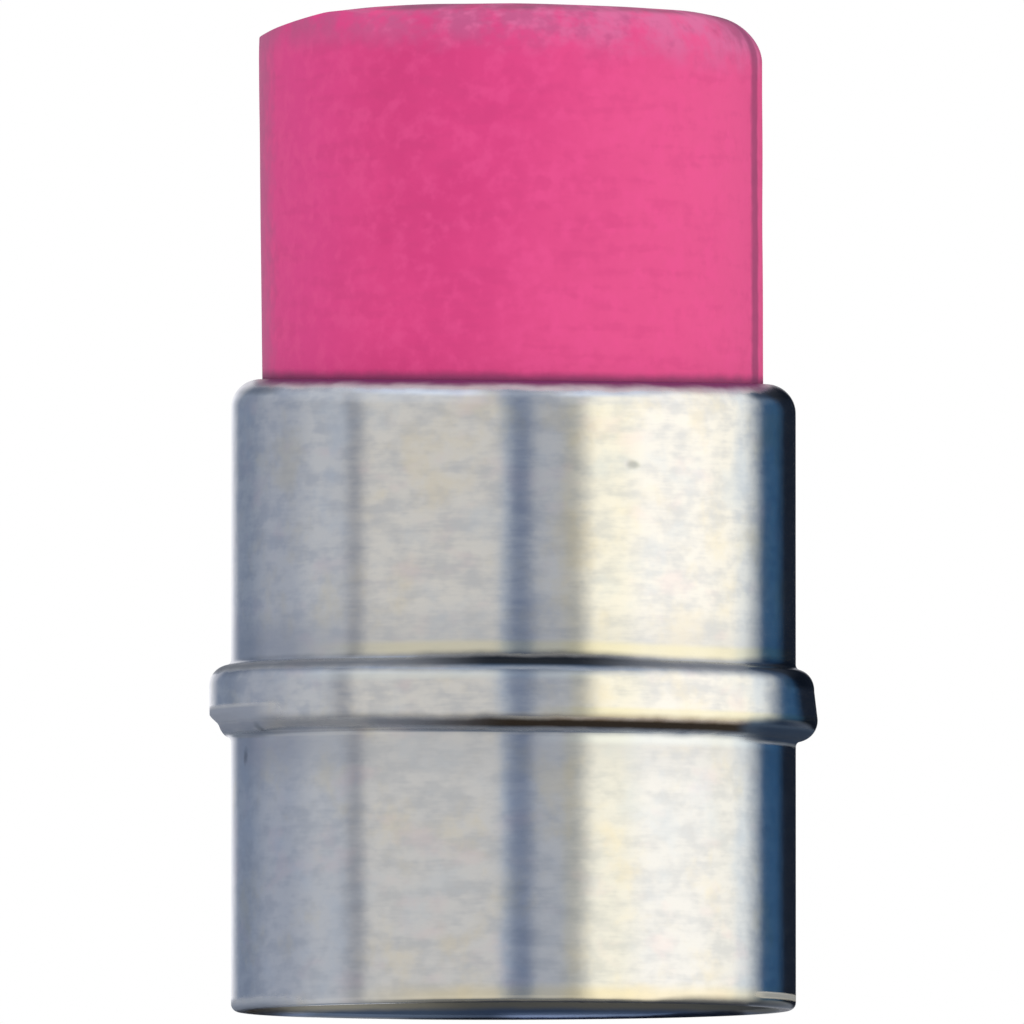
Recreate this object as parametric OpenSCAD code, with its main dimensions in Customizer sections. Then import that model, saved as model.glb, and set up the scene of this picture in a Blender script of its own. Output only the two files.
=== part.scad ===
// Pencil-end eraser: a rubber plug gripped in a thin metal ferrule.
//
// The ferrule is one drawn tube of sheet metal. Its top edge is turned in over
// the rubber, one bead is rolled out around its middle, and its lower end is an
// open socket for the end of a pencil. The plug is one moulded piece of rubber,
// held by glue and caught under the turned-in lip.
//
// Millimetres, +Z up. The origin is the centre of the ferrule's open end, so
// the part stands on that end. The worn shoulder of the rubber faces -X.

/* [Ferrule] */
// Outer diameter of the tube, away from the bead
tube_d = 7.5; // [5:0.1:12]
// Height from the open end to the top of the turned-in lip
ferrule_h = 8.4; // [7:0.1:14]
// Thickness of the sheet metal
wall = 0.25; // [0.18:0.01:0.4]
// Inside radius of the quarter turn that makes the lip
lip_bend = 0.14; // [0.08:0.01:0.3]
// Rounding of the open end's outer edge
edge_round = 0.1; // [0.04:0.01:0.16]
// Lead-in chamfer at the mouth of the socket
mouth_chamfer = 0.05; // [0.02:0.01:0.12]

/* [Bead] */
// Height of the bead's middle above the open end
bead_z = 4.05; // [1.5:0.05:6]
// How far the bead stands out of the tube
bead_out = 0.29; // [0.15:0.01:0.35]
// Height of the straight crest between the bead's two shoulders
bead_crest = 0.4; // [0.1:0.05:1.2]
// Inside radius of the bead's shoulders
bead_bend = 0.03; // [0.01:0.01:0.2]
// Radius of the hollow fillets where the bead rises out of the tube
bead_fillet = 0.08; // [0.05:0.01:0.3]

/* [Rubber plug] */
// Height of rubber above the lip
plug_show = 4.9; // [2:0.1:10]
// Length of rubber inside the ferrule, below the top of the lip
plug_depth = 3.7; // [1.5:0.1:6]
// Rounding of the top edge
top_round = 0.68; // [0.2:0.02:1.2]
// Rounding of the foot's edge, inside the ferrule
foot_round = 0.2; // [0.05:0.05:0.8]

/* [Worn shoulder] */
// How far in from the side the worn surface starts
wear_reach = 2; // [1:0.1:3]
// Slope of the worn surface where it starts, in degrees
wear_slope = 3; // [2:1:15]
// Radius of the worn surface, which steepens towards the side
wear_r = 7; // [4:0.5:15]

/* [Fit] */
// Thickness of the glue film between rubber and metal
glue_film = 0.02; // [0.01:0.01:0.06]

/* [Hidden] */
$fn = 96;

// Ferrule: the faces of the sheet, and the turned-in lip
tube_r = tube_d / 2;
bore_r = tube_r - wall;
lip_r = lip_bend + wall;
lip_hole_r = tube_r - lip_r;
lip_z = ferrule_h - lip_r;

// Bead: a shoulder arc and a fillet arc that meet on the line of their centres
shoulder_r = bead_bend + wall;
bead_arcs = shoulder_r + bead_fillet;
bead_turn = acos(1 - bead_out / bead_arcs);
shoulder_x = tube_r + bead_out - shoulder_r;
shoulder_z = bead_crest / 2;
fillet_x = tube_r + bead_fillet;
fillet_z = shoulder_z + bead_arcs * sin(bead_turn);

// Plug: the tail fills the bore up to the lip, and the column passes the lip
foot_z = ferrule_h - plug_depth;
top_z = ferrule_h + plug_show;
tail_r = bore_r - glue_film;
column_r = lip_hole_r - glue_film;
grip_round = lip_bend - glue_film;

// Worn surface: the axis of its cylinder
wear_start_x = wear_reach - column_r;
wear_axis_x = wear_start_x + wear_r * sin(wear_slope);
wear_axis_z = top_z - wear_r * cos(wear_slope);

// Reach of a cutter past what it cuts
past = 1;

// Slice of a disc between two angles less than 120 degrees apart
module disc_slice(r, from, to) {
    reach = 2.1 * r;
    intersection() {
        circle(r);
        polygon([
            [0, 0],
            [reach * cos(from), reach * sin(from)],
            [reach * cos(to), reach * sin(to)]
        ]);
    }
}

// Half of the bead's outline, above its middle, for the face of the sheet
// that lies inset below the outer skin
module half_bead_outline(inset) {
    square([tube_r + bead_out - inset, shoulder_z]);
    translate([shoulder_x, shoulder_z])
        disc_slice(shoulder_r - inset, 0, bead_turn);
    difference() {
        polygon([
            [0, shoulder_z],
            [shoulder_x, shoulder_z],
            [fillet_x, fillet_z],
            [0, fillet_z]
        ]);
        translate([fillet_x, fillet_z]) circle(bead_fillet + inset);
    }
}

// All that lies inside one face of the sheet: inset 0 is its outer skin
module sheet_outline(inset) {
    square([tube_r - inset, lip_z]);
    square([lip_hole_r, ferrule_h - inset]);
    translate([lip_hole_r, lip_z]) disc_slice(lip_r - inset, 0, 90);
    translate([0, bead_z]) {
        half_bead_outline(inset);
        mirror([0, 1]) half_bead_outline(inset);
    }
}

// Cuts the rounded outer edge of the open end
module edge_cutter() {
    difference() {
        translate([tube_r - edge_round, -past]) square([past, past + edge_round]);
        translate([tube_r - edge_round, edge_round]) circle(edge_round);
    }
}

// Cuts the chamfered mouth of the socket
module mouth_cutter() {
    polygon([
        [0, -past],
        [bore_r + mouth_chamfer, -past],
        [bore_r + mouth_chamfer, 0],
        [bore_r, mouth_chamfer],
        [0, mouth_chamfer]
    ]);
}

module ferrule() {
    color("silver")
        rotate_extrude()
            difference() {
                sheet_outline(0);
                sheet_outline(wall);
                square([lip_hole_r, ferrule_h + past]);
                edge_cutter();
                mouth_cutter();
            }
}

// The tail inside the ferrule: rounded at its foot, and up under the lip
module tail_outline() {
    translate([0, foot_z]) square([tail_r - foot_round, lip_z - foot_z]);
    translate([tail_r - foot_round, foot_z + foot_round]) circle(foot_round);
    translate([0, foot_z + foot_round])
        square([tail_r, lip_z - foot_z - foot_round]);
    translate([lip_hole_r, lip_z]) disc_slice(grip_round, 0, 90);
    translate([0, lip_z]) square([lip_hole_r, grip_round]);
}

// The column that passes the lip, rounded at its top edge
module column_outline() {
    edge_x = column_r - top_round;
    edge_z = top_z - top_round;
    translate([0, lip_z]) square([column_r, edge_z - lip_z]);
    translate([0, lip_z]) square([edge_x, top_z - lip_z]);
    translate([edge_x, edge_z]) circle(top_round);
}

// What rubbing has taken off the shoulder
module worn_away() {
    across = tube_d + 2 * past;
    difference() {
        translate([-column_r - past, -across / 2, wear_axis_z])
            cube([wear_reach + past, across, top_z - wear_axis_z + past]);
        translate([wear_axis_x, 0, wear_axis_z])
            rotate([90, 0, 0])
                cylinder(h = across + past, r = wear_r, center = true);
    }
}

module rubber_plug() {
    color("deeppink")
        difference() {
            rotate_extrude() {
                tail_outline();
                column_outline();
            }
            worn_away();
        }
}

ferrule();
rubber_plug();
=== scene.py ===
# %% [markdown]
# A pencil-end eraser: a worn pink rubber plug in a short tube of aluminium.
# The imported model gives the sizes. It could be shown as it is, but its round
# faces are made of flats, and a shiny tube seen this close shows every one of
# them. So the two pieces are drawn again here, finer and with their wear.

# %% Load the frame
import math

import bmesh
import bpy
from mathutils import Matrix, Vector, noise


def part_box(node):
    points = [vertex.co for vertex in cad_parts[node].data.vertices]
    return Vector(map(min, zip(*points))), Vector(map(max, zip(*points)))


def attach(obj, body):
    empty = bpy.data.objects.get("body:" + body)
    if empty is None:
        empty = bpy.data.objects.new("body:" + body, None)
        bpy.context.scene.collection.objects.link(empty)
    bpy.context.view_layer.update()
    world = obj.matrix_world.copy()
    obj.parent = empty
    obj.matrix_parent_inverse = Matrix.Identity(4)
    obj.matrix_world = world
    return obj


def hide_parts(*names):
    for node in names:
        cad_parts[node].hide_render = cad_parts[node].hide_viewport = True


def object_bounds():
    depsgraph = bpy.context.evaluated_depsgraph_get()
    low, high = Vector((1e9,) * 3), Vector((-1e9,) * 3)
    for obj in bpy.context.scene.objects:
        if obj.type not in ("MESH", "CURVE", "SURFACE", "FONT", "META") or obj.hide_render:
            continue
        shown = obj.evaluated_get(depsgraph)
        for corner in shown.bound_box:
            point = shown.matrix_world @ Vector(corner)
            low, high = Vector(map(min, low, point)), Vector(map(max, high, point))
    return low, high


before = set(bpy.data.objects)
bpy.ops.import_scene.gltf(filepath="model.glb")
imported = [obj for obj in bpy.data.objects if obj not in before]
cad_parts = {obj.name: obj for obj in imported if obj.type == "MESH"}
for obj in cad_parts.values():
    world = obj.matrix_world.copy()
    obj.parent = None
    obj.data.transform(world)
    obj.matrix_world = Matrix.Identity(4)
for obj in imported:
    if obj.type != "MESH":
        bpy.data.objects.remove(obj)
cad_low, cad_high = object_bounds()
print("CAD box in mm:", [round(1000 * side, 3) for side in cad_high - cad_low])

# %% [markdown]
# The sizes come from the boxes of the two CAD nodes and from a few dimensions
# that a box can't show, such as the thickness of the sheet. They are in
# millimetres here, because that is how such a small part is drawn, and each
# mesh is scaled to metres when it is finished. +Z is up, +X is to the right
# and +Y is to the back.

# %% Sizes from the frame
MM = 0.001


def in_mm(corner):
    return [round(side / MM, 2) for side in corner]


ferrule_box = in_mm(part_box("ferrule")[1])
plug_foot = in_mm(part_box("rubber_plug")[0])
plug_box = in_mm(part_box("rubber_plug")[1])

crest_r = ferrule_box[0]
ferrule_h = ferrule_box[2]
tail_r = plug_box[0]
foot_z = plug_foot[2]
top_z = plug_box[2]
print("crest radius", crest_r, "ferrule height", ferrule_h, "plug", foot_z, "to", top_z)

# %% Driving dimensions of the sheet metal and the rubber
wall = 0.25
bead_out = 0.29
bead_crest = 0.4
bead_bend = 0.03
bead_fillet = 0.08
bead_z = 4.05
lip_bend = 0.14
edge_round = 0.1
mouth_chamfer = 0.05
top_round = 0.68
foot_round = 0.2

tube_r = crest_r - bead_out
bore_r = tube_r - wall
lip_r = lip_bend + wall
lip_hole_r = tube_r - lip_r
lip_z = ferrule_h - lip_r
print("tube radius", tube_r, "bore radius", bore_r, "hole in the lip", lip_hole_r)

# %% [markdown]
# The bead stiffens the tube. It is one shoulder arc and one hollow fillet arc
# on each side of a short straight crest. The two arcs meet where their centres
# line up, so the angle that each turns through follows from how far the bead
# stands out.

# %% The bead's angles and heights
shoulder_r = bead_bend + wall
bead_arcs = shoulder_r + bead_fillet
bead_turn = math.degrees(math.acos(1 - bead_out / bead_arcs))
root_rise = bead_crest / 2 + bead_arcs * math.sin(math.radians(bead_turn))
print("bead turns", round(bead_turn, 1), "degrees, roots", round(root_rise, 3), "from its middle")

# %% [markdown]
# Both pieces are round, so each is a section spun about the upright axis. The
# section could be typed as a list of points, but a toolmaker thinks of it as a
# line that runs straight and turns through bends. This small pen draws it that
# way: run extrudes the last vertex, and bend spins it about the bend's centre.
# A straight run gets a short piece at each end, HOLD long, so that the shading
# of a bend doesn't leak along the wall next to it.

# %% A pen that draws a section
HOLD = 0.012


class Section:
    """A wire in the XZ plane: heading 0 goes outwards and 90 goes up."""

    def __init__(self, radius, height, heading):
        self.bm = bmesh.new()
        self.tip = self.bm.verts.new((radius, 0, height))
        self.heading = heading

    def ahead(self, length, turned=0):
        angle = math.radians(self.heading + turned)
        return Vector((math.cos(angle), 0, math.sin(angle))) * length

    def step(self, length):
        made = bmesh.ops.extrude_vert_indiv(self.bm, verts=[self.tip])
        self.tip = made["verts"][0]
        bmesh.ops.translate(self.bm, verts=[self.tip], vec=self.ahead(length))

    def run(self, length, rings=1):
        self.step(HOLD)
        for _ in range(rings):
            self.step((length - 2 * HOLD) / rings)
        self.step(HOLD)

    def bend(self, radius, degrees, steps):
        side = 90 if degrees > 0 else -90
        made = bmesh.ops.spin(
            self.bm,
            geom=[self.tip],
            cent=self.tip.co + self.ahead(radius, side),
            axis=(0, -1, 0),
            angle=math.radians(degrees),
            steps=steps,
        )
        self.tip = [v for v in made["geom_last"] if isinstance(v, bmesh.types.BMVert)][0]
        self.heading += degrees

    def corner(self, degrees):
        self.heading += degrees


print("the pen holds straight for", HOLD, "mm at each end of a run")

# %% Spinning a section into a closed piece
TURN_STEPS = 224
MERGE = 0.0002


def spin_round(section):
    bm = section.bm
    bmesh.ops.remove_doubles(bm, verts=bm.verts, dist=MERGE)
    bmesh.ops.spin(
        bm,
        geom=bm.verts[:] + bm.edges[:],
        cent=(0, 0, 0),
        axis=(0, 0, 1),
        angle=2 * math.pi,
        steps=TURN_STEPS,
        use_merge=True,
    )
    bmesh.ops.remove_doubles(bm, verts=bm.verts, dist=MERGE)
    bmesh.ops.recalc_face_normals(bm, faces=bm.faces)
    for face in bm.faces:
        face.smooth = True
    return bm


print("one step of the spin is", round(2 * math.pi * crest_r / TURN_STEPS, 3), "mm long at the bead")

# %% [markdown]
# Nothing rolled on a small press is quite square. The cut end, the bead and
# the lip each lean a little their own way, the lip most: it stands 0.15 mm
# higher at the back than over the axis. One function gives the lean at any
# height, so the metal, the rubber that it grips and the painted shade in its
# grooves all follow it.

# %% How far each ring is off: its lift, then its rise per mm across and to the back
BASE_RING = (0.0125, 0.0025, -0.002)
BEAD_RING = (0.052, -0.0085, 0.004)
LIP_RING = (-0.027, -0.0098, 0.041)


def between(low, high, share):
    return low + (high - low) * min(max(share, 0), 1)


def ring_at(height):
    if height < bead_z:
        share = height / bead_z
        return [between(a, b, share) for a, b in zip(BASE_RING, BEAD_RING)]
    share = (height - bead_z) / (lip_z - bead_z)
    return [between(a, b, share) for a, b in zip(BEAD_RING, LIP_RING)]


def lean_rise(place):
    lift, across, back = ring_at(place.z)
    return lift + place.x * across + place.y * back


print("the lip leans", round(math.degrees(math.atan(math.hypot(*LIP_RING[1:]))), 2), "degrees")

# %% [markdown]
# Each finished mesh is scaled to metres and becomes an object at the origin.
# The eraser has no joints, so both pieces ride on its one body, the root, and
# each hides the CAD node that it stands for.

# %% Finishing a mesh as a piece
def make_piece(name, bm, node):
    bmesh.ops.scale(bm, vec=(MM, MM, MM), verts=bm.verts)
    mesh = bpy.data.meshes.new(name)
    bm.to_mesh(mesh)
    bm.free()
    piece = bpy.data.objects.new(name, mesh)
    bpy.context.scene.collection.objects.link(piece)
    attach(piece, "root")
    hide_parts(node)
    print(name, "has", len(mesh.polygons), "faces")
    return piece


# %% [markdown]
# The ferrule is one drawn tube of thin sheet. Its section is a closed line:
# up the outer skin, round the bead, in over the lip, and back down the inner
# skin to the open socket. Every inner bend is the outer one less the wall, or
# more by it on the fillets. The wall could come from a Solidify modifier, but
# drawing both skins keeps the cut edges as they are: one rounded, one square.

# %% The ferrule's outer skin
SKIN = 0.002

sheet = Section(bore_r + mouth_chamfer, 0, 0)
sheet.run(wall - mouth_chamfer - edge_round - SKIN)
sheet.bend(edge_round, 90, 6)
sheet.run(bead_z - root_rise - edge_round)
sheet.bend(bead_fillet, -bead_turn, 8)
sheet.bend(shoulder_r, bead_turn, 12)
sheet.run(bead_crest)
sheet.bend(shoulder_r, bead_turn, 12)
sheet.bend(bead_fillet, -bead_turn, 8)
sheet.run(lip_z - bead_z - root_rise)
sheet.bend(lip_r - SKIN, 90, 16)

# %% The cut edge of the lip, and the inner skin
sheet.corner(90)
sheet.run(wall)
sheet.corner(90)
sheet.bend(lip_bend, -90, 8)
sheet.run(lip_z - bead_z - root_rise)
sheet.bend(bead_fillet + wall, bead_turn, 8)
sheet.bend(bead_bend, -bead_turn, 6)
sheet.run(bead_crest)
sheet.bend(bead_bend, -bead_turn, 6)
sheet.bend(bead_fillet + wall, bead_turn, 8)
sheet.run(bead_z - root_rise - mouth_chamfer)
sheet.corner(45)
sheet.step(mouth_chamfer * math.sqrt(2))
left_over = Vector((bore_r + mouth_chamfer, 0, 0)) - sheet.tip.co
print("the line closes to within", round(left_over.length, 4), "mm")
bmesh.ops.translate(sheet.bm, verts=[sheet.tip], vec=left_over)

# %% [markdown]
# The bead stands proud, so it takes the knocks. One has pushed in its under
# side at the left, and a lighter one its upper corner at the right. Each is a
# push towards the axis that eases in with height and round the bead, and it
# only moves metal that stands out of the tube.

# %% Two knocks on the bead
LEFT_KNOCK = 0.11
RIGHT_KNOCK = 0.045


def eased(share):
    share = between(0, 1, share)
    return share**2 * (3 - 2 * share)


def knock(place):
    out = math.hypot(place.x, place.y)
    across = place.x / out
    rise = place.z - bead_z
    proud = between(0, 1, (out - tube_r) / bead_out)
    under_left = eased((-rise - 0.17) / 0.16) * eased((-across - 0.82) / 0.16)
    upper_right = eased((rise + 0.15) / 0.3) * eased((across - 0.9) / 0.1)
    depth = proud * (LEFT_KNOCK * under_left + RIGHT_KNOCK * upper_right)
    return Vector((place.x, place.y, 0)) * (depth / out)


print("the knocks are", LEFT_KNOCK, "and", RIGHT_KNOCK, "mm deep")

# %% Spin the ferrule, knock it and let its rings lean
ferrule_mesh = spin_round(sheet)
for vert in ferrule_mesh.verts:
    vert.co -= knock(vert.co)
    vert.co.z += lean_rise(vert.co)
ferrule_piece = make_piece("drawn_ferrule", ferrule_mesh, "ferrule")

# %% [markdown]
# The rubber is one moulded plug. Its tail fills the socket and swells up under
# the lip, which is what holds it, and the column above has worn soft. The
# section stops at the axis at both ends, so the spin closes it, and the
# doubles at the poles are merged. The column and the top get many rings,
# because wear will bend them.

# %% The plug's section
column_gap = 0.035
column_r = lip_hole_r - column_gap
grip_round = 0.12
neck = lip_hole_r - column_r
edge_z = top_z - top_round

plug = Section(0, foot_z, 0)
plug.run(tail_r - foot_round, rings=8)
plug.bend(foot_round, 90, 8)
plug.run(lip_z - foot_z - foot_round, rings=4)
plug.bend(grip_round, 90, 8)
plug.bend(neck, -90, 5)
plug.run(edge_z - plug.tip.co.z, rings=36)
plug.bend(top_round, 90, 22)
plug.run(column_r - top_round, rings=26)
print("the plug's line ends", round(plug.tip.co.x, 4), "mm from the axis, at", round(plug.tip.co.z, 3))

# %% [markdown]
# A used eraser isn't round any more. Rubbing has taken a long slope off one
# shoulder, the top is slightly crowned and dips away on the other side, and
# the whole column leans. Sculpting would do it by hand, but here each of these
# is a smooth push on the vertices. The slope is the side of a lying cylinder,
# and a soft minimum blends it into the old top, because that is how wear runs
# out on rubber.

# %% The worn slope, and how it runs out
wear_reach = 2.0
wear_slope = 3
wear_r = 8.3
WEAR_BLEND = 0.05
wear_axis_x = wear_reach - lip_hole_r + wear_r * math.sin(math.radians(wear_slope))
wear_axis_z = top_z - wear_r * math.cos(math.radians(wear_slope))


def soft_min(a, b, blend):
    share = min(max(0.5 + 0.5 * (b - a) / blend, 0), 1)
    return b + (a - b) * share - blend * share * (1 - share)


def worn_height(x):
    across = min(x - wear_axis_x, 0)
    return wear_axis_z + math.sqrt(wear_r**2 - across**2)


print("rubbing has taken", round(top_z - worn_height(-column_r), 3), "mm off the outer edge")

# %% The crown of the top, and its dip to the right
CROWN = 0.045
DIP = 0.016
CORNER_DROP = 0.09
DROP_START = 2.3


def wear(place):
    out = math.hypot(place.x, place.y) / column_r
    top_share = between(0, 1, (place.z - edge_z) / top_round)
    dropped = DIP * max(place.x, 0) + CORNER_DROP * max(place.x - DROP_START, 0) ** 2
    height = place.z - top_share * (CROWN * out**2 + dropped)
    return soft_min(height, worn_height(place.x), WEAR_BLEND)


right_drop = DIP * column_r + CORNER_DROP * (column_r - DROP_START) ** 2
print("the top drops", round(right_drop, 3), "mm at the right")

# %% [markdown]
# The moulded rounding of the top edge has gone on the worn side: the slope
# meets the column in a crisp edge. Across and up are how far a vertex has come
# round the moulded rounding, from 0 to 1 each way. Pushing it out along the
# line from the rounding's centre, until the larger of the two is 1, turns the
# quarter circle into a square corner. On the other side it stays round and is
# only drawn a little fuller.

# %% The crisp edge on the worn side, the fuller one on the other
CRISP = 0.9
FULLER = 0.22
CRISP_FADE = 1.3


def crisp(place):
    radius = math.hypot(place.x, place.y)
    across = (radius - column_r + top_round) / top_round
    up = (place.z - edge_z) / top_round
    if across <= 0 or up <= 0:
        return place
    share = CRISP * eased((wear_reach - lip_hole_r - place.x) / CRISP_FADE)
    reach = 1 + share * (1 / max(across, up) - 1)
    fuller = FULLER * between(0, 1, place.x / 2)
    new_radius = column_r - top_round * (1 - across * reach) * (1 - fuller)
    flat = Vector((place.x, place.y, 0)) * (new_radius / radius)
    return flat + Vector((0, 0, edge_z + top_round * up * reach))


print("the edge is crisp from x", round(wear_reach - lip_hole_r - CRISP_FADE, 2), "mm to the left")

# %% The unevenness, swell and lean of the column
SKIN_UNEVEN = 0.006
TOP_UNEVEN = 0.01
TOP_SUNK = 0.02
SWELL = 0.02
LEAN_AT_LIP = 0.008
LEAN_AT_TOP = 0.045
GRIPPED = 0.4


def uneven(place, size, depth):
    return noise.noise(place / size) * depth


def swelled(place, up):
    if up <= 0:
        return Vector((0, 0, 0))
    outward = Vector((place.x, place.y, 0)).normalized()
    skin = uneven(place, 1.1, SKIN_UNEVEN) * between(0, 1, 8 * up)
    return outward * (SWELL * between(0, 1, up) + skin)


def lean_left(height):
    if height <= lip_z - GRIPPED:
        return 0
    return between(LEAN_AT_LIP, LEAN_AT_TOP, (height - lip_z) / (top_z - lip_z))


print("the column leans", LEAN_AT_TOP, "mm to the left at its top")

# %% Spin the plug and shape it
plug_mesh = spin_round(plug)
for vert in plug_mesh.verts:
    here = crisp(vert.co)
    vert.co = here
    up = (here.z - ferrule_h) / (top_z - ferrule_h)
    if here.z < ferrule_h:
        vert.co.z += lean_rise(here)
    else:
        vert.co.z = wear(here)
    vert.co += swelled(here, up)
    vert.co.x -= lean_left(here.z)
for vert in plug_mesh.verts:
    if vert.co.z > edge_z:
        vert.co.z += uneven(vert.co + Vector((7, 0, 0)), 0.9, TOP_UNEVEN) - TOP_SUNK
plug_piece = make_piece("worn_plug", plug_mesh, "rubber_plug")

# %% [markdown]
# Both finishes are wired in code. Joining nodes by hand soon hides what a
# finish is made of. A material's nodes are sums on values that change over the
# surface, so a small class wraps a socket and lets it be added to, taken from
# and multiplied as a number is. Any other node comes from one method that takes
# its type, its settings and what goes into its sockets.

# %% A socket that sums as a number does
class Signal:
    def __init__(self, wiring, socket):
        self.wiring = wiring
        self.socket = socket

    def maths(self, operation, first, second=0.0):
        return self.wiring.node("ShaderNodeMath", {"operation": operation}, {0: first, 1: second})

    def __add__(self, other):
        return self.maths("ADD", self, other)

    def __radd__(self, other):
        return self.maths("ADD", other, self)

    def __sub__(self, other):
        return self.maths("SUBTRACT", self, other)

    def __rsub__(self, other):
        return self.maths("SUBTRACT", other, self)

    def __mul__(self, other):
        return self.maths("MULTIPLY", self, other)

    def __rmul__(self, other):
        return self.maths("MULTIPLY", other, self)

    def __truediv__(self, other):
        return self.maths("DIVIDE", self, other)

    def __abs__(self):
        return self.maths("ABSOLUTE", self)


print("a signal adds, subtracts, multiplies, divides and drops its sign")

# %% [markdown]
# The same few steps come back in every finish, and the wiring names them. Place
# is where a point lies on the object, in millimetres. A cloud is soft noise of
# a given size. A fade runs from 0 to 1 between two values, either way round,
# and so makes a mask. A tint lays a second colour over a first by such a mask.
# The level is a height measured from a ring that leans.

# %% The nodes of one finish
class Wiring:
    def __init__(self, tree):
        self.tree = tree

    def node(self, kind, settings=None, sockets=None, output=0):
        made = self.tree.nodes.new(kind)
        for setting, value in (settings or {}).items():
            if setting == "stops":
                self.set_stops(made.color_ramp, value)
            else:
                setattr(made, setting, value)
        for socket, value in (sockets or {}).items():
            if isinstance(value, Signal):
                self.tree.links.new(value.socket, made.inputs[socket])
            else:
                made.inputs[socket].default_value = value
        return Signal(self, made.outputs[output])

    def set_stops(self, ramp, stops):
        while len(ramp.elements) < len(stops):
            ramp.elements.new(0.5)
        for element, (position, colour) in zip(ramp.elements, stops):
            element.position = position
            element.color = (*colour, 1)

    def place(self):
        found = self.node("ShaderNodeTexCoord", output="Object")
        return self.node("ShaderNodeVectorMath", {"operation": "SCALE"}, {0: found, "Scale": 1 / MM})

    def axes(self, place):
        return [self.node("ShaderNodeSeparateXYZ", sockets={0: place}, output=i) for i in range(3)]

    def stretch(self, place, scales):
        return self.node("ShaderNodeVectorMath", {"operation": "MULTIPLY"}, {0: place, 1: scales})

    def cloud(self, place, size, detail=3.0, roughness=0.5, shift=0.0):
        away = (shift, shift, shift)
        moved = self.node("ShaderNodeVectorMath", {"operation": "ADD"}, {0: place, 1: away})
        wanted = {"Vector": moved, "Scale": 1 / size, "Detail": detail, "Roughness": roughness}
        return self.node("ShaderNodeTexNoise", sockets=wanted)

    def fade(self, value, start, end):
        wanted = {0: value, 1: start, 2: end, 3: 0.0, 4: 1.0}
        return self.node("ShaderNodeMapRange", {"interpolation_type": "SMOOTHSTEP"}, wanted)

    def tint(self, share, first, second):
        wanted = {0: share}
        wanted[6] = first if isinstance(first, Signal) else (*first, 1)
        wanted[7] = second if isinstance(second, Signal) else (*second, 1)
        return self.node("ShaderNodeMix", {"data_type": "RGBA"}, wanted, output=2)

    def from_axis(self, place):
        flat = self.stretch(place, (1.0, 1.0, 0.0))
        return self.node("ShaderNodeVectorMath", {"operation": "LENGTH"}, {0: flat}, output="Value")

    def level(self, axes, ring):
        lift, across, back = ring
        return axes[2] - axes[0] * across - axes[1] * back - lift

    def largest(self, first, *others):
        for other in others:
            first = self.node("ShaderNodeMath", {"operation": "MAXIMUM"}, {0: first, 1: other})
        return first

    def link(self, signal, node, socket):
        self.tree.links.new(signal.socket, node.inputs[socket])

    def tell(self, done):
        print(done + ":", len(self.tree.nodes), "nodes so far")


def new_finish(name):
    material = bpy.data.materials.new(name)
    material.use_nodes = True
    return material, Wiring(material.node_tree), material.node_tree.nodes["Principled BSDF"]


# %% [markdown]
# The rubber is dyed right through, so its colour hardly changes: soft clouds
# of a deeper and a lighter pink, as in any moulded rubber. Over them light is
# painted in: the body is painted paler towards the lower right, where the lamp
# falls, and lighter at the left, against the shade that the lamp leaves there.
# A painted picture could say the same, but it would need a map of the surface,
# and noise on the object's own coordinates has no seam anywhere.

# %% Rubber: colour of the body, and its painted light
rubber, wires, shader = new_finish("worn_pink_rubber")
place = wires.place()
x, y, z = wires.axes(place)

clouds = wires.cloud(place, 1.3, detail=4, roughness=0.55)
deep_pink = (0.70, 0.034, 0.205)
light_pink = (0.78, 0.046, 0.235)
painted_light_pink = (0.82, 0.085, 0.270)
mottled = wires.tint(wires.fade(clouds, 0.3, 0.7), deep_pink, light_pink)
# Painted light: paler towards the lower right, where the lamp falls.
lit_lower_right = x + 0.8 * clouds - 0.3 * (z - top_z + 2.0)
body = wires.tint(wires.fade(lit_lower_right, -0.3, 2.6) * 0.65, mottled, painted_light_pink)
# Painted light: lighter at the left, against the shade that the lamp leaves there.
painted_light_left_pink = (0.80, 0.048, 0.270)
lit_left_body = wires.tint(wires.fade(x, -1.6, -3.0) * 0.75, body, painted_light_left_pink)
wires.tell("rubber, clean body")

# %% Rubber: fine mottling and rubbing marks
blotches = wires.cloud(place, 0.42, detail=4, roughness=0.55, shift=11)
rubbed = wires.cloud(wires.stretch(place, (0.5, 0.5, 2.6)), 0.5, detail=2, shift=23)
speckle = wires.cloud(place, 0.2, detail=2, roughness=0.5, shift=37)
paler_pink = (0.83, 0.070, 0.275)
deeper_pink = (0.64, 0.036, 0.195)
lightened = wires.tint(wires.fade(0.4 * blotches + 0.6 * speckle, 0.46, 0.66) * 0.5, lit_left_body, paler_pink)
marked = wires.tint(wires.fade(0.6 * rubbed + 0.4 * speckle, 0.52, 0.34) * 0.3, lightened, deeper_pink)
wires.tell("rubber, mottled and rubbed")

# %% [markdown]
# Use shows more than the dye: paper and skin have left a dusty mauve on the
# rounded edge of the top. Light is painted over it and elsewhere: painted shade
# and a painted pearly sheen on that rounded edge, a painted mauve sheen down the
# left side, a dark line of painted shade up the right side and a fainter one
# opposite, and a patch of painted shade where the right one meets the top edge.
# Each is one mask, and noise breaks its border up, because a border that runs
# straight looks painted.

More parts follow.
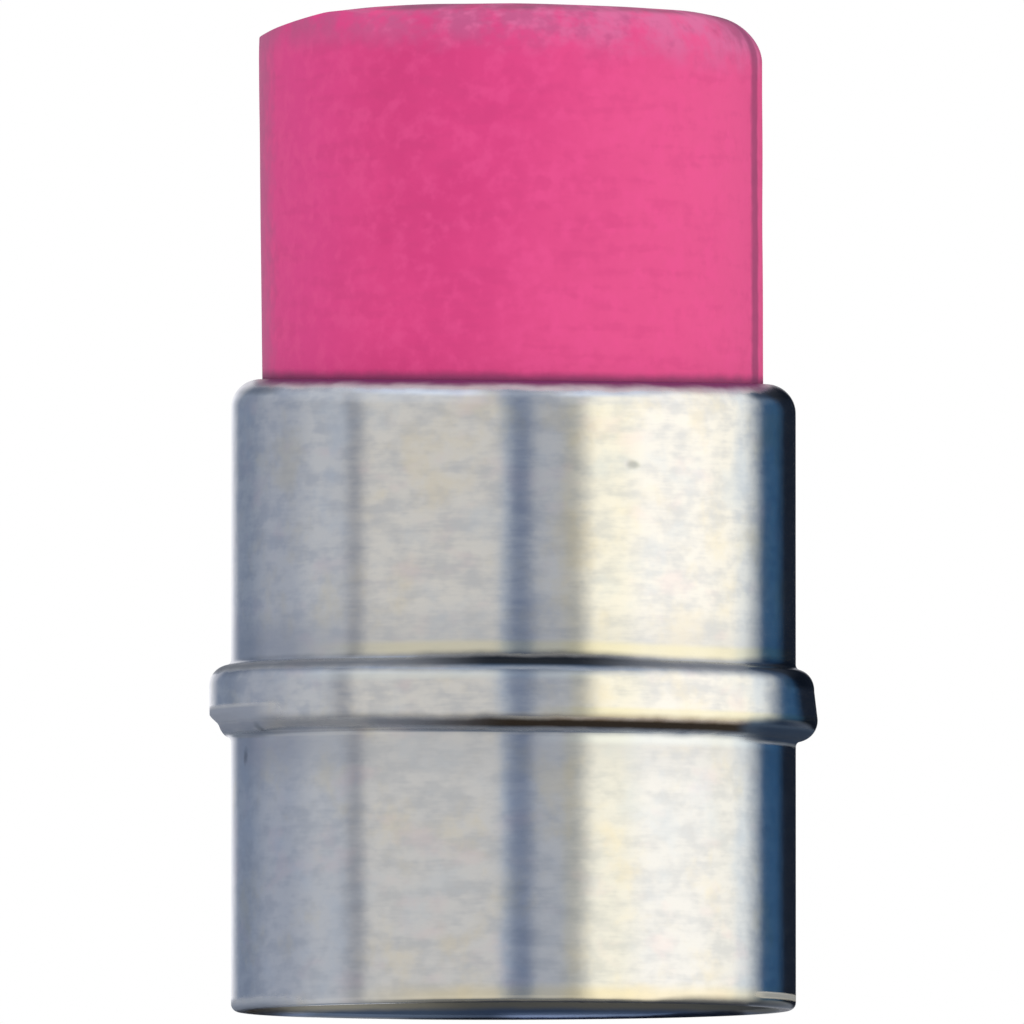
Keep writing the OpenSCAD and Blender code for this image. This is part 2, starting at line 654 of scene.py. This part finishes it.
# %% Rubber: dust, painted shade and painted sheen on the shoulder and top
# Dust and painted shade: the rounded top edge is painted dusky mauve, partly dust and partly shade; its
# pearly pink is a painted sheen.
near_top = wires.fade(z + 0.5 * blotches + 0.05 * x, top_z - 0.62, top_z)
dust_and_shade = near_top * wires.fade(blotches, 0.25, 0.58) * 0.85
dust_and_shade_pink = (0.51, 0.090, 0.245)
painted_sheen_pink = (0.66, 0.135, 0.320)
shoulder_dust_and_sheen = wires.tint(wires.fade(speckle + 0.12 * x, 0.4, 0.72), dust_and_shade_pink, painted_sheen_pink)
shoulder_colour = wires.tint(dust_and_shade, marked, shoulder_dust_and_sheen)
wires.tell("rubber, dulled top edge")

# %% Rubber: painted sheen on the left side
# Painted sheen: the left side is painted a greyish mauve, the pale sheen of light grazing the rubber
# there.
at_left = wires.fade(x + 0.22 * (speckle - 0.5), -3.1, -3.36)
painted_sheen_left = at_left * wires.fade(y + 0.5 * (blotches - 0.5), 1.0, -0.4) * (0.3 + 0.5 * blotches)
sheen_mauve = (0.45, 0.110, 0.255)
sheen_sided = wires.tint(painted_sheen_left, shoulder_colour, sheen_mauve)
wires.tell("rubber, handled side")

# %% Rubber: painted shade on the top edge at the right
# Painted shade: a dark plum patch is painted where the shaded line up the right side meets the top edge.
uneven_edge = 1.1 * (blotches - 0.5) + 0.5 * (speckle - 0.5)
on_corner = wires.fade(z - 0.7 * uneven_edge, top_z - 0.8, top_z - 0.25) * wires.fade(x, 1.9, 2.7)
by_shaded_edge = wires.fade(abs(y + 0.5) + uneven_edge, 1.55, 0.35)
corner_shade_plum = (0.30, 0.055, 0.16)
shaded_corner = wires.tint(on_corner * by_shaded_edge * 0.75, sheen_sided, corner_shade_plum)
wires.tell("rubber, smudged corner")

# %% Rubber: painted shade up the right side, and opposite
# Painted shade and dark reflection: a dark plum line is painted up the right side, where the rubber
# turns away from the light towards the dark card, and runs on, fainter, up the side opposite.
SHADED_EDGE_TURN = math.radians(75.5)
middle_leans = 0.035
off_shaded_edge = abs((x + middle_leans) * math.cos(SHADED_EDGE_TURN) + y * math.sin(SHADED_EDGE_TURN))
from_axis = wires.from_axis(place)
off_the_top = wires.fade(from_axis, column_r - 1.2, column_r - 0.6)
fainter_left = 0.3 + 0.7 * wires.fade(x, -1.0, 1.0)
shaded_edge_line = wires.fade(off_shaded_edge + 0.08 * (speckle - 0.5), 0.25, 0.08)
edge_shade = shaded_edge_line * (off_the_top * fainter_left) * (0.6 + 0.24 * blotches)
edge_shade_plum = (0.27, 0.035, 0.13)
edge_shaded = wires.tint(edge_shade, shaded_corner, edge_shade_plum)
wires.tell("rubber, parting lines")

# %% Rubber: pencil lead on the very top
lead_marks = wires.cloud(wires.stretch(place, (1.0, 2.4, 1.0)), 0.8, detail=6, roughness=0.65, shift=5)
top_side = wires.fade(from_axis, column_r - 0.24, column_r - 0.38)
on_top = top_side * wires.fade(lead_marks, 0.27, 0.62) * (0.4 + 0.6 * clouds)
lead_pink = (0.21, 0.060, 0.125)
topped = wires.tint(on_top, edge_shaded, lead_pink)
wires.tell("rubber, lead on the top")

# %% Rubber: grime and painted shade where it leaves the metal
lip_level = wires.level((x, y, z), LIP_RING)
# Grime and painted shade: the rubber just above the lip is painted dark, partly grime and partly the
# shade where it meets the metal.
at_lip = wires.fade(lip_level + 0.1 * blotches, ferrule_h + 0.2, ferrule_h + 0.05) * 0.8
lip_dirt_and_shade = (0.20, 0.028, 0.115)
rubber_colour = wires.tint(at_lip, topped, lip_dirt_and_shade)
wires.link(rubber_colour, shader, "Base Color")
wires.tell("rubber, dirt at the lip")

# %% [markdown]
# Rubber is matt, a little more so where it has been rubbed. Its relief is tiny:
# a fine grain from the mould, the rubbing marks and the same blotches that tint
# it, in all about a hundredth of a millimetre. At that size a bump in the
# shader does it, with no need of geometry.

# %% Rubber: sheen and fine surface
grain = wires.cloud(place, 0.05, detail=2, shift=31)
wires.link(0.52 + 0.16 * blotches + 0.08 * near_top, shader, "Roughness")
relief = 0.35 * grain + 1.2 * rubbed + 1.6 * blotches
bumped = wires.node("ShaderNodeBump", {}, {"Strength": 0.5, "Distance": 0.008 * MM, "Height": relief})
wires.link(bumped, shader, "Normal")
shader.inputs["IOR"].default_value = 1.48
plug_piece.data.materials.append(rubber)
print("rubber finish:", len(rubber.node_tree.nodes), "nodes")

# %% [markdown]
# The ferrule is bright aluminium. It was turned in a lathe while a pad rubbed
# it, so very fine lines run round it. The pad pressed unevenly, so the lines lie
# in soft dabs. They hardly show as relief, because what the tube mirrors is the
# same up and down, so they are drawn as small changes of tint and gloss. Clouds
# of faint tarnish tint the metal straw, rose and blue.

# %% Metal: brushed lines and clouds
metal, wires, shader = new_finish("brushed_aluminium")
place = wires.place()
x, y, z = wires.axes(place)

lines = wires.cloud(wires.stretch(place, (1.0, 1.0, 5.0)), 1.0, detail=3, roughness=0.6)
fine_lines = wires.cloud(wires.stretch(place, (2.2, 2.2, 22.0)), 1.0, detail=2, roughness=0.5, shift=3)
tarnish = wires.cloud(place, 0.9, detail=4, roughness=0.6, shift=17)
warmth = wires.cloud(wires.stretch(place, (1.0, 1.0, 1.6)), 0.7, detail=3, roughness=0.5, shift=41)
mottle = wires.cloud(wires.stretch(place, (1.0, 1.0, 1.5)), 0.3, detail=2, roughness=0.5, shift=53)
wires.tell("metal, its noises")

# %% Metal: bright and dull dabs, and tarnish
below_bead = wires.fade(z, bead_z - 0.4, bead_z - 0.7)
bright_above = (0.93, 0.92, 0.90)
bright_below = (0.87, 0.875, 0.885)
dull_above = (0.74, 0.755, 0.785)
dull_below = (0.72, 0.74, 0.775)
bright = wires.tint(below_bead, bright_above, bright_below)
dull = wires.tint(below_bead, dull_above, dull_below)
brushed = 0.4 * lines + 0.1 * fine_lines + 0.5 * mottle
clean_metal = wires.tint(wires.fade(brushed, 0.36, 0.6), dull, bright)
straw = (0.95, 0.87, 0.70)
rose = (0.94, 0.82, 0.84)
blue_film = (0.76, 0.82, 0.90)
strawed = wires.tint(wires.fade(tarnish, 0.5, 0.72) * 0.55, clean_metal, straw)
rosed = wires.tint(wires.fade(warmth, 0.55, 0.75) * 0.45, strawed, rose)
stained = wires.tint(wires.fade(tarnish, 0.48, 0.3) * 0.5, rosed, blue_film)
wires.tell("metal, brushed and tarnished")

# %% [markdown]
# Both roots of the bead are painted dark: painted shade in the hollow of each
# root, and the dark reflection that a hollow gives. The line in the upper root
# is fullest in the middle and at the right, the one in the lower root from the
# middle to the right. Both follow the leaning ring of the bead, so they are
# drawn by the height from that ring, and noise moves their edges.

# %% Metal: heights from the two roots
bead_level = wires.level((x, y, z), BEAD_RING) - bead_z
smear = wires.cloud(wires.stretch(place, (1.0, 1.0, 2.0)), 0.5, detail=4, shift=29)
upper_middle = wires.fade(abs(x - 0.25), 2.0, 0.5)
lower_middle = wires.fade(x, -1.9, 0.0)
far_right = wires.fade(x, 2.9, 3.4)
far_left = wires.fade(x, -3.0, -3.4)
upper_off = bead_level - root_rise + 0.15 - 0.02 * upper_middle - 0.03 * far_right
lower_off = bead_level + root_rise - 0.172 + 0.016 * wires.fade(x, -1.9, -0.9)
wires.tell("metal, heights from the roots")


# %% Metal: the two lines of painted shade
# Painted shade: each root of the bead is painted dark, shade and dark reflection in a hollow.
def root_shade(off_root, half_width, strength):
    off_line = abs(off_root) + 0.07 * (smear - 0.5)
    return wires.fade(off_line, half_width + 0.10, half_width - 0.06) * strength


upper_full = upper_middle + far_right
upper_root = root_shade(upper_off, 0.062 + 0.035 * upper_full, 0.92 + 0.08 * upper_full)
lower_width = 0.065 + 0.015 * lower_middle + 0.04 * far_right + 0.02 * far_left
lower_left = 0.78 + 0.14 * wires.fade(x, -2.2, -1.7) + 0.14 * wires.fade(x, -3.1, -3.4)
lower_root = root_shade(lower_off, lower_width, lower_left + 0.08 * lower_middle)
wires.tell("metal, two lines of grime")

# %% [markdown]
# The metal beside the painted lines isn't clean either. Grease leaves a grey
# haze above and below the bead, strongest at the left, where it is held. Close
# to each line pale blue and straw are painted on: painted highlights on the
# bead's fillets and shoulders.

# %% Metal: haze beside the bead
off_crest = wires.fade(abs(bead_level), 0.38, 0.5)
haze = off_crest * wires.fade(abs(bead_level), 1.3, 0.6) * (0.3 + 0.25 * wires.fade(x, -1.8, -2.8))
haze_grey = (0.54, 0.56, 0.61)
hazed = wires.tint(haze * (0.6 + 0.8 * mottle), stained, haze_grey)
wires.tell("metal, haze beside the bead")

# %% Metal: painted highlights close to the painted shade
ice_blue = (0.90, 0.96, 1.0)
# Painted highlights: pale blue under each line, straw beside them.
just_below = wires.fade(abs(lower_off + 0.17), 0.12, 0.02) * wires.fade(x, 0.0, 1.0)
highlight_below = wires.tint(just_below * 0.6, hazed, ice_blue)
pale_ice = (0.95, 1.0, 1.0)
under_upper = wires.fade(abs(upper_off + 0.17), 0.10, 0.02) * wires.fade(abs(x + 0.8), 2.2, 1.4)
highlighted = wires.tint(under_upper * 0.7, highlight_below, pale_ice)
straw_highlight = (0.92, 0.87, 0.63)
near_upper = wires.fade(abs(upper_off - 0.19), 0.13, 0.03) * wires.fade(x, -3.0, -1.4)
near_lower = wires.fade(abs(lower_off - 0.15), 0.10, 0.03) * wires.fade(x, 0.0, 1.2)
edge_highlights = wires.tint(wires.largest(near_upper, near_lower) * 0.65, highlighted, straw_highlight)
wires.tell("metal, thin films")

# %% [markdown]
# The painted shade is blue-black above and brown-black below, and slate where
# there is little of it. The lower edge of each line is cool. The upper edge of
# the lower line turns warm towards the right, and at the right end both lines
# are navy.

# %% Metal: colours of the painted shade in the roots
slate = (0.10, 0.115, 0.15)
pale_slate = (0.15, 0.18, 0.25)
blue_black = (0.006, 0.010, 0.018)
brown_black = (0.022, 0.014, 0.008)
navy_black = (0.05, 0.085, 0.14)
cool_edge = (0.06, 0.11, 0.20)
warm_edge = (0.20, 0.13, 0.07)
upper_body = wires.tint(upper_middle, slate, blue_black)
upper_edged = wires.tint(wires.fade(upper_off, -0.02, -0.10), upper_body, cool_edge)
upper_shade = wires.tint(far_right, upper_edged, navy_black)
lower_body = wires.tint(lower_middle, wires.tint(far_left, slate, pale_slate), brown_black)
lower_edged = wires.tint(wires.fade(lower_off, -0.02, -0.10), lower_body, cool_edge)
on_warm_edge = wires.fade(lower_off, 0.02, 0.09) * wires.fade(x, 0.0, 1.2)
lower_warmed = wires.tint(on_warm_edge, lower_edged, warm_edge)
lower_shade = wires.tint(wires.fade(x, 2.9, 3.2), lower_warmed, navy_black)
upper_shaded = wires.tint(upper_root, edge_highlights, upper_shade)
roots_shaded = wires.tint(lower_root, upper_shaded, lower_shade)
wires.tell("metal, grime in the roots")

# %% [markdown]
# At the right end painted shade and dark reflection spread out of both roots on
# to the shoulders of the bead, and the lower corner is painted darkest. On the
# knock at the left end the metal is painted a dull blue grey, painted shade and
# reflection.

# %% Metal: the two ends of the bead
shoulders = wires.fade(abs(bead_level + 0.04), 0.18, 0.28) * wires.fade(abs(bead_level), 0.56, 0.48)
upper_side = wires.fade(bead_level, -0.05, 0.05)
# Painted shade and dark reflection on the shoulders at the right end.
end_shade = wires.fade(x + 0.10 - 0.28 * upper_side, 3.3, 3.65) * shoulders * (0.95 - 0.07 * upper_side)
end_shaded = wires.tint(end_shade, roots_shaded, navy_black)
lower_end = far_right * wires.fade(abs(bead_level + 0.45), 0.14, 0.06)
deep_navy = (0.008, 0.025, 0.060)
lower_end_shaded = wires.tint(lower_end, end_shaded, deep_navy)
# Painted shade and reflection on the knocked shoulder at the left.
left_end_shade = wires.fade(x, -2.9, -3.5) * wires.fade(abs(bead_level + 0.22), 0.15, 0.06)
left_end_grey = (0.27, 0.30, 0.37)
bead_ends_shaded = wires.tint(left_end_shade, lower_end_shaded, left_end_grey)
wires.tell("metal, ends of the bead")

# %% [markdown]
# Use has left a few small marks. Something hard has made one small pit near the
# right. Two fingertips have left smudges under the bead at the left. On the
# turned-in lip light is painted: its top carries a plum band, the painted
# reflection of the pink rubber darkened by painted shade, and its two ends are
# painted dark, painted shade and dark reflection.

# %% Metal: painted reflection and shade on the lip
lip_level = wires.level((x, y, z), LIP_RING)
# Painted shade and dark reflection: both ends of the lip are painted dark.
lip_ends = wires.fade(abs(x), 3.0, 3.25) * wires.fade(abs(lip_level - ferrule_h + 0.12), 0.13, 0.04)
lip_shade = (0.04, 0.06, 0.09)
shaded_lip = wires.tint(lip_ends * (0.5 + 0.35 * far_right), bead_ends_shaded, lip_shade)
# Painted reflection: a plum band along the lip's top stands for the rubber it mirrors, darkened as
# painted shade.
lip_reflection = wires.fade(lip_level + 0.1 * (smear - 0.5), ferrule_h - 0.2, ferrule_h - 0.02)
on_lip = lip_reflection * (0.25 + 0.75 * wires.fade(abs(x), 3.5, 3.2))
reflected_plum = (0.165, 0.030, 0.115)
lipped = wires.tint(on_lip, shaded_lip, reflected_plum)
wires.tell("metal, smeared lip")

# %% Metal: one small pit
pit_place = (1.573, -3.404, 7.12)
from_pit = wires.node("ShaderNodeVectorMath", {"operation": "SUBTRACT"}, {0: place, 1: pit_place})
flattened = wires.stretch(from_pit, (1.0, 1.0, 1.4))
pit_reach = wires.node("ShaderNodeVectorMath", {"operation": "LENGTH"}, {0: flattened}, output="Value")
pit = wires.fade(pit_reach + 0.12 * (mottle - 0.5), 0.13, 0.02)
pit_grey = (0.20, 0.22, 0.22)
pitted = wires.tint(pit * 0.45, lipped, pit_grey)
wires.tell("metal, one pit")

# %% Metal: two finger smudges, each a place and a radius
SMUDGES = [((-3.34, -2.0, 3.70), 0.13), ((-3.551, -1.205, 3.35), 0.13)]
smudge_grey = (0.10, 0.12, 0.15)
touched = pitted
for spot, size in SMUDGES:
    ends = {0: place, 1: spot}
    off_spot = wires.node("ShaderNodeVectorMath", {"operation": "DISTANCE"}, ends, output="Value")
    smudge = wires.fade(off_spot + 0.2 * (mottle - 0.5), size, 0.2 * size) * 0.55
    touched = wires.tint(smudge, touched, smudge_grey)
wires.tell("metal, two smudges")

# %% [markdown]
# The open end was cut off with a tool and is handled most. A warm yellow
# highlight is painted on the metal just above it, from the middle to the right.
# The rounded cut edge itself is painted dark, except at the left, whose corner
# gets a painted blue grey reflection. A thin painted glint lies along it at the
# right.

# %% Metal: a painted highlight above the cut edge, and the dark cut edge
base_level = wires.level((x, y, z), BASE_RING)
# Painted highlight: a warm yellow band just above the cut end.
near_base = wires.fade(base_level + 0.1 * (smear - 0.5), 0.3, 0.1) * wires.fade(x, -2.6, -0.8) * 0.6
warm_highlight = (0.95, 0.84, 0.56)
base_highlighted = wires.tint(near_base, touched, warm_highlight)
left_side = wires.fade(x, -0.4, -2.9)
cut_start = 0.07 + 0.08 * wires.fade(x, 1.7, 2.5)
cut_edge = wires.fade(base_level + 0.03 * (smear - 0.5), cut_start, 0.0) * (1.0 - left_side)
cut_edge_dark = (0.055, 0.062, 0.078)
edged = wires.tint(cut_edge, base_highlighted, cut_edge_dark)
wires.tell("metal, cut edge")

# %% Metal: a painted reflection on its left corner, and a painted glint
# Painted reflection: the left corner of the cut end is painted a matt blue grey.
left_corner_reflection = wires.fade(x, -2.5, -3.4) * wires.fade(base_level + 0.04 * (smear - 0.5), 0.19, 0.04)
left_corner_grey = (0.30, 0.34, 0.42)
cornered = wires.tint(left_corner_reflection, edged, left_corner_grey)
# Painted glint: a thin pale line on the cut edge at the right.
rim_glint = wires.fade(x, 3.12, 3.36) * wires.fade(abs(base_level - 0.15), 0.055, 0.015)
glint_grey = (0.30, 0.30, 0.28)
metal_colour = wires.tint(rim_glint, cornered, glint_grey)
wires.tell("metal, corner and burr")

# %% [markdown]
# The inside was never polished. The mouth of the socket is painted blue, the
# light that comes in there, with painted shade in its middle and towards the
# right, and a thin line of old glue runs round its rim. Further up it is plain
# unpolished grey.

# %% Metal: the unpolished inside
in_bore = wires.fade(wires.from_axis(place), bore_r + 0.08, bore_r + 0.02)
inside = in_bore * wires.fade(z, ferrule_h - 0.3, ferrule_h - 0.6)
# Painted light and shade: pale blue at the left of the mouth, dark in its middle and at the right.
light_blue = (0.42, 0.55, 0.86)
right_blue = (0.12, 0.18, 0.32)
middle_blue = (0.10, 0.14, 0.23)
upper_blue = (0.08, 0.12, 0.21)
to_right = wires.tint(wires.fade(x, 0.4, 2.4), light_blue, right_blue)
mouth_blue = wires.tint(wires.fade(abs(x + 1.45), 1.6, 1.1), to_right, middle_blue)
socket_mouth = wires.tint(wires.fade(z, 0.02, 0.12), mouth_blue, upper_blue)
wires.tell("metal, mouth of the socket")

# %% Metal: old glue in the mouth, and the grey above it
old_glue = wires.fade(z - 0.061 * y + 0.04 * (smear - 0.5), -0.105, -0.015)
dull_glue = (0.22, 0.21, 0.18)
pale_glue = (0.50, 0.48, 0.42)
glue_colour = wires.tint(left_side, dull_glue, pale_glue)
glued_mouth = wires.tint(old_glue, socket_mouth, glue_colour)
deep_inside = inside * wires.fade(z, 0.4, 1.0)
unpolished = (0.36, 0.37, 0.40)
inner_colour = wires.tint(deep_inside, glued_mouth, unpolished)
wires.link(wires.tint(inside, metal_colour, inner_colour), shader, "Base Color")
wires.tell("metal, the inside")

# %% [markdown]
# Where a dark mark or a painted glint is laid on, there is no mirror. One mask
# joins the painted shade in the roots, the painted reflection on the lip and the
# dark cut edge, another adds the painted glint and the painted shade and
# reflection at the ends of the bead and on the left corner, and they take the
# metal's gloss away. Only at the right end of the bead does the painted shade in
# the roots keep its gloss.

# %% Metal: where it is matt
dark_marks = wires.largest(upper_root, lower_root, on_lip, cut_edge)
under_dark_marks = wires.fade(dark_marks * (1.0 - far_right), 0.45, 0.95)
under_lip_reflection = wires.fade(on_lip, 0.1, 0.7)
matt = wires.largest(under_dark_marks, under_lip_reflection, rim_glint, lower_end, left_corner_reflection, left_end_shade)
wires.link(1.0 - matt - 0.7 * deep_inside, shader, "Metallic")
brushed_rough = 0.10 + 0.06 * lines + 0.05 * (tarnish - 0.5)
wires.link(brushed_rough + 0.6 * matt + 0.3 * inside, shader, "Roughness")
shader.inputs["IOR"].default_value = 1.3
wires.tell("metal, matt under dirt")

# %% Metal: relief of the lines, of drawn waves and of the pit
waves = wires.cloud(wires.stretch(place, (1.0, 1.0, 0.8)), 1.5, detail=2, roughness=0.45, shift=61)
relief = 0.06 * lines + 6.0 * waves + 0.5 * mottle - 1.5 * pit
bumped = wires.node("ShaderNodeBump", {}, {"Strength": 1.0, "Distance": 0.002 * MM, "Height": relief})
wires.link(bumped, shader, "Normal")
ferrule_piece.data.materials.append(metal)
print("metal finish:", len(metal.node_tree.nodes), "nodes")

# %% [markdown]
# The floor is a pale disc, a hair below the part so that no two faces share a
# plane. The camera looks up at the part by a couple of degrees, from just
# below the level of the floor, so the floor is made see-through from its
# under side only. From above it is solid and keeps the part's shadow. Shiny
# surfaces don't see it: its glare would fill the lower half of the ferrule.

# %% Showing a piece of the studio
def show(name, bm, material):
    mesh = bpy.data.meshes.new(name)
    bm.to_mesh(mesh)
    bm.free()
    mesh.materials.append(material)
    made = bpy.data.objects.new(name, mesh)
    bpy.context.scene.collection.objects.link(made)
    return made


# %% A pale floor
FLOOR_R = 0.8
FLOOR_DROP = 0.01 * MM
floor_finish, wires, shader = new_finish("pale_floor")
shader.inputs["Base Color"].default_value = (0.86, 0.86, 0.86, 1)
shader.inputs["Roughness"].default_value = 0.9
under_side = wires.node("ShaderNodeNewGeometry", output="Backfacing")
see_through = wires.node("ShaderNodeBsdfTransparent")
solid = Signal(wires, shader.outputs[0])
one_sided = wires.node("ShaderNodeMixShader", {}, {0: under_side, 1: solid, 2: see_through})
wires.link(one_sided, floor_finish.node_tree.nodes["Material Output"], "Surface")

bm = bmesh.new()
bmesh.ops.create_circle(bm, cap_ends=True, segments=96, radius=FLOOR_R)
bmesh.ops.translate(bm, verts=bm.verts, vec=(0, 0, -FLOOR_DROP))
floor = show("floor", bm, floor_finish)
floor.visible_glossy = False
print("floor normal points up:", floor.data.polygons[0].normal.z > 0)

# %% [markdown]
# Bright round metal has no colour of its own: it shows whatever stands round
# it, squeezed into upright stripes. A studio puts pale and dark cards there.
# Here one dome carries them all, each card a range of directions round the
# part, in degrees from the camera towards +X. Between two cards the light runs
# softly from one to the other, and a card of one angle is only a crossing. The
# cards hang past the edge of the table, so the dome goes on below the floor.
# Only shiny surfaces see the dome. The plain light on the rubber and the floor
# comes from the world and a lamp.

# %% Cards round the metal
CARDS = [
    ("white sweep, left", -180, -170, (0.95, 0.95, 1.0)),
    ("slate card", -152, -137, (0.21, 0.25, 0.33)),
    ("blue grey card", -118, -104, (0.34, 0.37, 0.44)),
    ("grey card", -88, -74, (0.47, 0.49, 0.53)),
    ("gap between cards", -69, -66, (0.33, 0.34, 0.37)),
    ("silver card", -61, -6.8, (0.60, 0.59, 0.57)),
    ("its blue edge", -4, -4, (0.40, 0.45, 0.53)),
    ("camera side", 0.5, 5, (0.18, 0.22, 0.31)),
    ("dark grey card", 10, 19, (0.41, 0.43, 0.47)),
    ("edge of the soft box", 22, 25, (0.42, 0.42, 0.39)),
    ("soft box, near side", 33.5, 44, (1.06, 1.01, 0.84)),
    ("soft box", 56, 82, (1.10, 1.06, 0.97)),
    ("soft box, far side", 92, 100, (1.05, 1.01, 0.90)),
    ("end of the soft box", 105, 108, (0.85, 0.87, 0.85)),
    ("navy card", 123, 135, (0.03, 0.085, 0.175)),
    ("black card", 146, 172, (0.01, 0.014, 0.024)),
    ("white sweep, right", 180, 180, (0.95, 0.95, 1.0)),
]


def card_stops(cards):
    stops = []
    for name, start, end, colour in cards:
        for angle in sorted({start, end}):
            stops.append((angle / 360 + 0.5, colour))
    return stops


print(len(card_stops(CARDS)), "stops for", len(CARDS), "cards")

# %% [markdown]
# A direction has to be turned into a place among the stops. Half of the turn
# round the part is one arc tangent, of x over the direction's reach less y. With
# its true reach from the axis, every stripe would swing aside where it runs over
# the bead and the lip. With a reach of one it stays upright there, so that is
# used, except right behind the part, where it would have no answer.

# %% From a direction to its card
dome_r = 0.3
dome_light = bpy.data.materials.new("cards")
dome_light.use_nodes = True
dome_light.cycles.emission_sampling = "NONE"
dome_light.node_tree.nodes.clear()
wires = Wiring(dome_light.node_tree)
place = wires.node("ShaderNodeTexCoord", output="Object")
x, y, z = wires.axes(place)
x, y, z = x / dome_r, y / dome_r, z / dome_r
level_reach = wires.node("ShaderNodeMath", {"operation": "SQRT"}, {0: 1 - z * z})
reach = level_reach + wires.fade(y, 0.95, 0.5) * (1 - level_reach)
half_turn = wires.node("ShaderNodeMath", {"operation": "ARCTAN2"}, {0: x, 1: reach - y})
stripes = wires.node("ShaderNodeValToRGB", {"stops": card_stops(CARDS)}, {0: half_turn / math.pi + 0.5})
wires.tell("dome, its stripes")

# %% [markdown]
# Above the cards comes a pale blue ceiling, held back straight over the camera,
# where the metal shows a dark stripe up to its lip. Below them a little warm light
# comes up from the table. Right under the part, and low down behind it, there
# is only a dim blue grey.

# %% Ceiling, table and what lies under it
ceiling = (0.72, 0.79, 0.92)
table_glow = (0.86, 0.83, 0.76)
under_light = (0.24, 0.27, 0.32)
rise = wires.node("ShaderNodeMath", {"operation": "ARCSINE"}, {0: z}) * (180 / math.pi)
over_camera = wires.fade(abs(half_turn - 0.04), 0.17, 0.09) * 0.8
to_ceiling = (wires.fade(rise, 14.0, 40.0) * 0.22 + wires.fade(rise, 45.0, 70.0)) * (1.0 - over_camera)
above = wires.tint(to_ceiling, stripes, ceiling)
low = wires.fade(rise, -7.0, -24.0) * 0.13
behind = wires.fade(y, 0.45, 0.8)
under = wires.fade(rise, -50.0, -80.0) + behind * wires.fade(rise, -3.0, -10.0)
card_light = wires.tint(under, wires.tint(low, above, table_glow), under_light)
glow = wires.node("ShaderNodeEmission", {}, {"Color": card_light, "Strength": 1.0})
outlet = wires.tree.nodes.new("ShaderNodeOutputMaterial")
wires.link(glow, outlet, "Surface")
wires.tell("dome, all its light")

# %% The dome that carries the cards
bm = bmesh.new()
bmesh.ops.create_uvsphere(bm, u_segments=96, v_segments=48, radius=dome_r)
dome = show("card_dome", bm, dome_light)
dome.visible_camera = False
dome.visible_diffuse = False
dome.visible_shadow = False
print("dome of", len(CARDS), "cards, radius", dome_r, "m")

# %% [markdown]
# The background is white to the camera, and to shiny and clear surfaces. The
# world's light on dull surfaces is even, at a level where a colour comes out
# about as it is written. One large soft lamp, high on the right, gives the
# rubber its slight turn from left to right. A tiny cool lamp in the mouth of
# the socket stands for the light that comes in there, and shows the inside.

# %% World
EVEN_LIGHT = (0.88, 0.88, 0.88)
WHITE = (1.0, 1.0, 1.0)
world = bpy.data.worlds.new("studio")
bpy.context.scene.world = world
world.use_nodes = True
world.node_tree.nodes.clear()
wires = Wiring(world.node_tree)
to_camera = wires.node("ShaderNodeLightPath", output="Is Camera Ray")
to_gloss = wires.node("ShaderNodeLightPath", output="Is Glossy Ray")
to_glass = wires.node("ShaderNodeLightPath", output="Is Transmission Ray")
seen = to_camera + to_gloss + to_glass
sky = wires.tint(seen, EVEN_LIGHT, WHITE)
backdrop = wires.node("ShaderNodeBackground", {}, {"Color": sky, "Strength": 1.0})
outlet = wires.tree.nodes.new("ShaderNodeOutputWorld")
wires.link(backdrop, outlet, "Surface")
print("world light on dull surfaces:", EVEN_LIGHT)

# %% Placing a soft lamp
middle = Vector((0, 0, (cad_high.z + cad_low.z) / 2))


def toward(azimuth, elevation, distance):
    turned = math.radians(azimuth)
    raised = math.radians(elevation)
    flat = math.cos(raised) * distance
    return Vector((math.sin(turned) * flat, -math.cos(turned) * flat, math.sin(raised) * distance))


def soft_lamp(name, azimuth, elevation, distance, size, power):
    lamp = bpy.data.lights.new(name, "AREA")
    lamp.shape = "DISK"
    lamp.size = size
    lamp.energy = power
    made = bpy.data.objects.new(name, lamp)
    bpy.context.scene.collection.objects.link(made)
    offset = toward(azimuth, elevation, distance)
    made.location = middle + offset
    made.rotation_euler = offset.to_track_quat("Z", "Y").to_euler()
    return made


print("lamps aim at the part's middle, at", round(middle.z / MM, 2), "mm")

# %% The key lamp, and the tiny one in the socket
key = soft_lamp("key_lamp", azimuth=35, elevation=40, distance=0.5, size=0.4, power=0.6)
key.visible_glossy = False
socket_w = 2 * (bore_r - 0.15) * MM
socket_fill = soft_lamp("socket_fill", azimuth=0, elevation=0, distance=0, size=socket_w, power=0.000025)
socket_fill.data.color = (0.62, 0.78, 1.0)
socket_fill.location = (0, 0, 0.02 * MM)
socket_fill.rotation_euler = (math.pi, 0, 0)
print("key lamp at", [round(1000 * side) for side in key.location], "mm")

# %% [markdown]
# The camera stands half a metre away with a very long lens, so the part's
# upright edges stay parallel. It looks up by a couple of degrees, so the open
# end shows as a thin dark crescent.

# %% Camera and colour management
view_width = 13.594 * MM
view_middle = Vector((-0.02 * MM, 0, 6.640 * MM))
camera_away = 0.5
looks_up = 2.5
camera_data = bpy.data.cameras.new("camera")
camera_data.sensor_width = 12
camera_data.lens = camera_data.sensor_width * camera_away / view_width
camera_data.clip_start = 0.1
camera_data.clip_end = 10
camera = bpy.data.objects.new("camera", camera_data)
bpy.context.scene.collection.objects.link(camera)
camera.location = view_middle + toward(0, -looks_up, camera_away)
camera.rotation_euler = (camera.location - view_middle).to_track_quat("Z", "Y").to_euler()
bpy.context.scene.camera = camera
bpy.context.scene.view_settings.view_transform = "Standard"
print("lens:", round(camera_data.lens), "mm on a sensor", camera_data.sensor_width, "mm wide")
